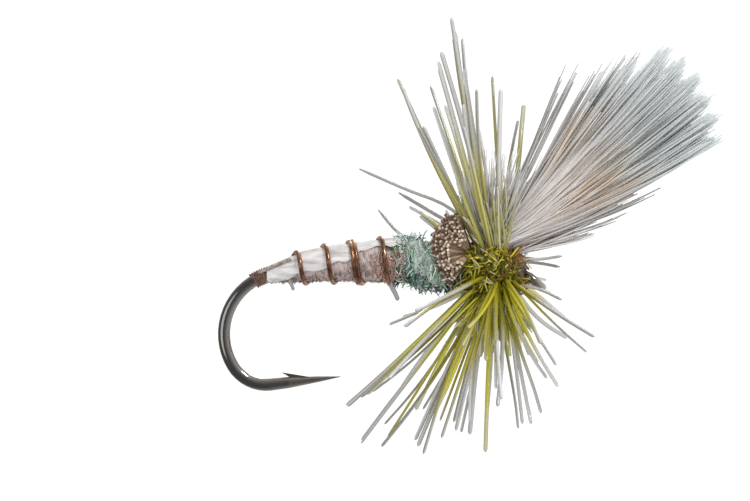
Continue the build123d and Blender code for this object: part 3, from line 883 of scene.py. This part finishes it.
def make_thorax():
    """Sparkling dubbing on a matted core, paler above and more vivid below."""
    core = round_body("thorax_core", THORAX, 40, 48, 0.10, 3.0)
    stops = [(0.35, srgb(84, 98, 98)), (0.5, srgb(140, 154, 146)), (0.66, srgb(190, 200, 190))]
    finish_piece(core, body_material("thorax_core", stops, 2500), "thorax_fibre", "thorax_dubbing")
    rings = 8
    places, out, around, pick = on_body(THORAX, (-6.9, -3.5), 0.05, 1500, 91)
    # The butts cover the front of the back, so fibres grow there only underneath.
    clear = (places[:, 0] < -4.9) | (places[:, 2] < 0.1)
    places, out, around = places[clear], out[clear], around[clear]
    count = len(places)
    length = pick.uniform(0.4, 1.0, (count, 1))
    lay = unit(around * np.sign(pick.normal(0, 1, (count, 1))) + pick.normal(0, 0.75, (count, 3)))
    lift = pick.uniform(0.0, 0.18, (count, 1))
    ends = places + (lay + out * lift) * length * 0.9 - out * (length**2) * 0.28
    pulls = places + lay * length * 0.45 + out * lift * length * 0.75
    lines = wavy(curves(places, pulls, ends, rings), 0.05, 92, 2.4)
    radii = fibre_radii(0.036, [(0, 0.8), (0.3, 1.0), (1, 0.4)], rings, count, pick, 0.3)
    soft, vivid = pick_colours(pick, count, THORAX_SOFT), pick_colours(pick, count, THORAX_VIVID)
    low = (places[:, 2:] < 0.35 + pick.normal(0, 0.2, (count, 1))).astype(float)
    tints = np.repeat((soft * (1 - low) + vivid * low)[:, None], rings, axis=1)
    piece = tubes("thorax_sparkle", lines, radii, varied(tints, pick, 0.2), corners=4, flat=0.5)
    sparkle = fibre_material("thorax_fibre", 0.26, shine=0.6, coat=0.6, grain=9000, contrast=0.3)
    finish_piece(piece, sparkle, "thorax_fibre")


ABDOMEN_PLAIN = [(3, MAUVE), (2, MAUVE_DARK), (1.5, srgb(190, 176, 172)), (0.8, PINK)]
ABDOMEN_WARM = [(2, COPPER_DUB), (2, PINK), (1, MAUVE_DARK), (1, srgb(220, 170, 150))]


def make_abdomen():
    """Short fuzz on a matted core where the film leaves it bare, coppery near the thorax."""
    core = round_body("abdomen_core", ABDOMEN, 90, 48, 0.05, 9.0)
    stops = [(0.3, MAUVE_DARK), (0.5, MAUVE), (0.72, srgb(196, 172, 164))]
    finish_piece(core, body_material("abdomen_core", stops, 3200), "abdomen_fibre", "abdomen_wrap")
    count, rings = 2600, 6
    places, out, around, pick = on_body(ABDOMEN, (-13.2, -6.4), 0.02, count, 101)
    length = pick.uniform(0.25, 0.6, (count, 1))
    places, out, around, length = [a[~under_film(places)] for a in (places, out, around, length)]
    count = len(places)
    downward = around * np.where(around[:, 2:] > 0, -1, 1)
    lay = downward + np.column_stack([pick.normal(0.15, 0.6, count), np.zeros(count), np.zeros(count)])
    lay = unit(lay)
    ends = places + lay * length + out * (pick.uniform(-0.05, 0.16, (count, 1)) - length**2 * 0.5)
    pulls = places + lay * length * 0.5 + out * pick.uniform(0.02, 0.10, (count, 1))
    lines = wavy(curves(places, pulls, ends, rings), 0.03, 102, 3.0)
    radii = fibre_radii(0.022, [(0, 0.8), (0.3, 1.0), (1, 0.35)], rings, count, pick, 0.3)
    plain, warm = pick_colours(pick, count, ABDOMEN_PLAIN), pick_colours(pick, count, ABDOMEN_WARM)
    front = (places[:, :1] > -7.8 + pick.normal(0, 0.3, (count, 1))).astype(float)
    tints = np.repeat((plain * (1 - front) + warm * front)[:, None], rings, axis=1)
    piece = tubes("abdomen_fuzz", lines, radii, varied(tints, pick, 0.25), corners=4)
    finish_piece(piece, fibre_material("abdomen_fibre", 0.5, shine=0.4, sheen=0.2), "abdomen_fibre")


def body_point(x, angle, lift):
    """A place over the abdomen. The angle turns from straight up towards the near side."""
    z, r = outline(ABDOMEN, x)
    return np.array([x, -math.sin(angle) * (r + lift), z + math.cos(angle) * (r + lift)])


# How far round from the top the film reaches on each side: x and degrees.
FILM_EDGE = [
    (-13.3, 152), (-12.3, 146), (-11.8, 112), (-10.4, 102), (-9.3, 92), (-8.7, 60), (-7.6, 48),
    (-6.2, 46),
]


def under_film(places):
    """Which places on the abdomen the film covers."""
    height, _ = outline(ABDOMEN, places[:, 0])
    turn = np.degrees(np.arctan2(np.abs(places[:, 1]), places[:, 2] - height))
    return turn < np.interp(places[:, 0], *zip(*FILM_EDGE)) + 7


def film_point(x, across, lift):
    """A place on the film, with across from -1 at one edge to 1 at the other. Its edges are ragged, its
    middle is creased, and the wire pinches it."""
    nearest = abs(((x - RIB_START_X) / RIB_PITCH + 0.5) % 1.0 - 0.5) * RIB_PITCH
    pinch = -0.045 * math.exp(-((nearest / 0.16) ** 2))
    ragged = 15 * noise.noise(Vector((x * 2.1, 3.0 * (across > 0), 0.4)))
    edge = np.interp(x, *zip(*FILM_EDGE)) + ragged
    crease = 0.030 * noise.noise(Vector((x * 0.8, across * 9.0, 2.0)))
    crease += 0.02 * noise.noise(Vector((x * 3.5, across * 4.0, 7.0)))
    return body_point(x, math.radians(edge) * across, 0.045 + lift + pinch + crease)


def make_shellback():
    """A strip of film drawn forward over the back."""
    columns, rows, first, last, thick = 150, 40, -13.30, -6.25, 0.035
    points = []
    for lift in (thick, 0.0):
        for i in range(columns):
            x = first + (last - first) * i / (columns - 1)
            points += [tuple(film_point(x, k / (rows - 1) * 2 - 1, lift) * MM) for k in range(rows)]
    size = columns * rows
    faces = []
    for i in range(columns - 1):
        for k in range(rows - 1):
            a = i * rows + k
            quad = (a, a + rows, a + rows + 1, a + 1)
            faces.append(quad)
            faces.append(tuple(size + v for v in reversed(quad)))
    rim = list(range(rows)) + [i * rows + rows - 1 for i in range(1, columns)]
    rim += [(columns - 1) * rows + k for k in range(rows - 2, -1, -1)]
    rim += [i * rows for i in range(columns - 2, 0, -1)]
    for a, b in zip(rim, rim[1:] + rim[:1]):
        faces.append((a, b, size + b, size + a))
    piece = add_object("shellback_film", smooth_mesh("shellback_film", points, faces))
    finish_piece(piece, film_material(), "shellback_film", "shellback_strip")


def single_tube(name, line, radius, material, slot, *nodes, corners=14):
    """One round wire or thread along a line."""
    lines = np.asarray(line)[None]
    radii = np.full(lines.shape[:2], radius)
    piece = tubes(name, lines, radii, np.ones(lines.shape), corners=corners)
    return finish_piece(piece, material, slot, *nodes)


def make_rib():
    """Copper wire in four open turns, the third of them doubled, and the dull straight end of its tie-in."""
    copper = copper_material()
    line = [rib_point(step / RIB_STEPS, 0.0) for step in range(-9, 158)]
    single_tube("copper_rib", smooth_line(line, 3), RIB_WIRE_R, copper, "copper_wire", "rib_wire")
    double = [rib_point(step / RIB_STEPS, -0.17) for step in range(78, 108)]
    single_tube("copper_rib_doubled", smooth_line(double, 3), RIB_WIRE_R * 0.9, copper, "copper_wire")
    lead = [(-13.72, -0.28, 0.34), (-13.20, -0.44, 0.60), (-12.65, -0.52, 0.84), (-12.10, -0.56, 1.08)]
    dull = thread_material("rib_lead", srgb(112, 98, 90), srgb(176, 164, 156))
    single_tube("rib_lead", smooth_line(lead, 8), 0.085, dull, "copper_wire")


def rib_point(turn, offset):
    """A place on the rib after so many turns. The wire stands steeper on the near side."""
    x = RIB_START_X + offset + RIB_PITCH * (turn + 0.07 * math.cos(2 * math.pi * turn) - 0.07)
    return body_point(x, 2 * math.pi * turn, 0.06 + RIB_WIRE_R * 0.7)


def smooth_line(points, per_gap):
    """A smooth curve through the points."""
    points = [np.asarray(p, float) for p in points]
    padded = [2 * points[0] - points[1], *points, 2 * points[-1] - points[-2]]
    line = []
    for p0, p1, p2, p3 in zip(padded, padded[1:], padded[2:], padded[3:]):
        square, cube = 2 * p0 - 5 * p1 + 4 * p2 - p3, 3 * p1 - p0 - 3 * p2 + p3
        for step in range(per_gap):
            t = step / per_gap
            line.append(0.5 * (2 * p1 + (p2 - p0) * t + square * t**2 + cube * t**3))
    line.append(points[-1])
    return np.array(line)


# ---- web and head
WEB = [
    (-3.20, 0.44, 0.55), (-2.80, 0.42, 0.86), (-2.00, 0.42, 0.96), (-1.20, 0.44, 0.90),
    (-0.80, 0.50, 0.62),
]
WEB_OLIVE = [
    (3, OLIVE), (1.2, OLIVE_BRIGHT), (3.6, OLIVE_DARK), (0.8, OLIVE_PALE), (0.9, srgb(128, 88, 30)),
]
WEB_AMBER = [(2, srgb(134, 92, 34)), (1, srgb(168, 128, 58)), (1, srgb(84, 58, 30)), (1, OLIVE)]


def make_web():
    """The matted feather web round the quill: a core painted near black under tangled olive fibres, amber in
    front.
    """
    core = round_body("hackle_web_core", WEB, 30, 40, 0.12, 21.0)
    # The core's colour is partly the web's own dark olive and partly painted shade, near black, for the gaps
    # between the fibres over it.
    stops = [(0.3, srgb(22, 18, 6)), (0.55, srgb(48, 42, 10)), (0.75, OLIVE_DARK)]
    finish_piece(core, body_material("hackle_web_core", stops, 3000), "hackle_fibre", "hackle_web")
    count, rings = 1700, 8
    places, out, around, pick = on_body(WEB, (-3.25, -0.95), -0.14, count, 111)
    length = pick.uniform(0.5, 1.4, (count, 1))
    lay = around * pick.choice([-1, 1], (count, 1)) * 0.6 + pick.normal(0, 0.5, (count, 3)) * [1.4, 1, 1]
    lay = unit(lay)
    lift = pick.uniform(0.0, 0.22, (count, 1))
    ends = places + lay * length * 0.9 + out * (lift - length**2 * 0.32)
    pulls = places + lay * length * 0.45 + out * lift * 0.9
    lines = wavy(curves(places, pulls, ends, rings), 0.04, 112, 2.0)
    radii = fibre_radii(0.044, [(0, 0.8), (0.3, 1.0), (1, 0.5)], rings, count, pick, 0.25)
    olive, amber = pick_colours(pick, count, WEB_OLIVE), pick_colours(pick, count, WEB_AMBER)
    front = places[:, :1] > -1.25 + pick.normal(0, 0.12, (count, 1))
    tints = np.repeat(np.where(front, amber, olive)[:, None], rings, axis=1)
    # rim paints shade on the narrow edges of each fibre.
    piece = tubes("hackle_web_fibres", lines, radii, varied(tints, pick, 0.2), corners=6, flat=0.6, rim=0.4)
    finish_piece(piece, fibre_material("hackle_web", 0.32, grain=10000, contrast=0.3), "hackle_fibre")


def head_outline(x):
    return np.interp(x, HEAD_X, HEAD_Z), np.interp(x, HEAD_X, HEAD_R)


def make_head_wraps():
    """Two layers of thread wound over the head, there and back."""
    pick = np.random.default_rng(121)
    turns, radius, line = 14, 0.034, []
    for layer, (first, last) in enumerate((HEAD_X, reversed(HEAD_X))):
        for step in range(turns * THREAD_STEPS + 1):
            share = step / (turns * THREAD_STEPS)
            x = first + (last - first) * share
            z, r = head_outline(x)
            angle = 2 * math.pi * (layer * turns + share * turns)
            r = r + (radius * (1.7 * layer) + 0.004 * pick.normal())
            line.append(np.array([x, -math.sin(angle) * r, z + math.cos(angle) * r]))
    look = thread_material("head_wraps", srgb(76, 62, 62), srgb(138, 122, 118))
    single_tube("head_wraps", line, radius, look, "olive_thread", "head_thread_wraps", corners=7)


def make_rear_wraps():
    """Thread wound round the wire where the shank turns into the bend."""
    turns, first_angle, sweep, upright_r, side_r = 10, 99.5, 22.0, 0.375, 0.335
    line = []
    for step in range(turns * THREAD_STEPS + 1):
        turn = step / THREAD_STEPS
        along = math.radians(first_angle + sweep * turn / turns)
        out = np.array([math.cos(along), 0, math.sin(along)])
        centre = np.array([BEND_X + BEND_R * out[0], 0, SHANK_Z - BEND_R + BEND_R * out[2]])
        near = np.array([0, -1.0, 0])
        angle = 2 * math.pi * turn
        line.append(centre + out * math.cos(angle) * upright_r + near * math.sin(angle) * side_r)
    rust = thread_material("rear_thread", srgb(54, 36, 30), srgb(136, 96, 74))
    single_tube("rear_wraps", line, 0.05, rust, "rear_thread", "rear_thread_wraps", corners=7)


def recolour_nodes():
    """Better materials for the CAD nodes that are shown as they are."""
    brown = thread_material("head_thread", srgb(70, 46, 28), srgb(146, 104, 58))
    for node in ("whip_finish", "thread_base", "waist_thread_wraps"):
        recolour_node(node, brown)
    recolour_node("underbody", thread_material("underbody_thread", srgb(110, 92, 86), srgb(160, 140, 132)))
    recolour_node("hackle_quill", fibre_material("hackle_quill", 0.4))
    recolour_node("head_cement", cement_material())
    recolour_node("hook", hook_material())


# ---- stray barbs
STRAYS_REAR = [
    [
        (-2.70, 0.75, 1.20), (-3.20, 1.25, 2.70), (-4.40, 1.60, 3.78), (-6.30, 1.80, 4.55),
        (-8.70, 2.00, 5.60),
    ],
    [(-2.80, 0.80, 1.05), (-3.60, 1.55, 2.50), (-4.95, 1.90, 3.35), (-6.70, 2.20, 4.40)],
    [(-2.90, 0.90, 0.90), (-4.40, 1.70, 1.30), (-6.50, 2.10, 2.20), (-7.75, 2.30, 3.55)],
]
STRAYS_FRONT = [
    [(-1.25, -0.60, 0.75), (-0.40, -0.95, 1.02), (0.40, -1.05, 1.05), (1.40, -1.15, 1.20)],
    [(-1.25, 0.60, 0.70), (-0.40, 0.95, 0.90), (0.50, 1.15, 0.82), (1.40, 1.25, 0.65)],
    [(-1.30, -0.45, -0.05), (-0.55, -0.55, -0.25), (0.35, -0.85, -0.48), (1.38, -1.30, -0.98)],
]
LOOSE_ENDS = [
    [(-12.15, -0.30, 0.10), (-12.10, -0.36, -0.15), (-12.00, -0.38, -0.40), (-11.98, -0.38, -0.52)],
    [(-7.15, -0.40, -0.05), (-7.05, -0.50, -0.35), (-6.85, -0.55, -0.75), (-6.75, -0.58, -1.02)],
]


def stray_lines(group):
    return np.stack([resample(smooth_line(points, 6), BARB_RINGS) for points in group])


def make_strays(name, group, seed, material, node):
    """Single grey barbs: some curve back past the butts on the far side, others point past the eye."""
    radii = barb_radii(len(group), seed, 0.85)
    stops = [(0, OLIVE), (0.12, OLIVE_PALE), (0.25, BARB_GREY), (1.0, srgb(158, 157, 154))]
    tints = tints_along(stops, len(group), BARB_RINGS)
    piece = tubes(name, stray_lines(group), radii, tints, corners=8, flat=0.7)
    finish_piece(piece, material, "hackle_fibre", node)


def make_loose_ends(material):
    """Two clipped fibre ends that stick out under the abdomen."""
    radii = barb_radii(len(LOOSE_ENDS), 141)
    tints = np.broadcast_to(srgb(156, 152, 152), (*radii.shape, 3))
    piece = tubes("abdomen_loose_ends", stray_lines(LOOSE_ENDS), radii, tints, corners=8)
    finish_piece(piece, material, "abdomen_fibre")


def resample(line, count):
    """The same line with evenly spaced points."""
    gaps = np.linalg.norm(np.diff(line, axis=0), axis=1)
    run = np.concatenate([[0], np.cumsum(gaps)])
    at = np.linspace(0, run[-1], count)
    return np.column_stack([np.interp(at, run, line[:, i]) for i in range(3)])


make_camera()
make_world()
make_lights()
make_stage()
make_abdomen()
make_shellback()
make_rib()
make_thorax()
make_butts()
make_wing()
make_web()
hackle_look = make_hackle()
make_strays("stray_barbs_rear", STRAYS_REAR, 131, hackle_look, "hackle_barbs_rear")
make_strays("stray_barbs_front", STRAYS_FRONT, 133, hackle_look, "hackle_barbs_front")
make_loose_ends(hackle_look)
make_head_wraps()
make_rear_wraps()
recolour_nodes()
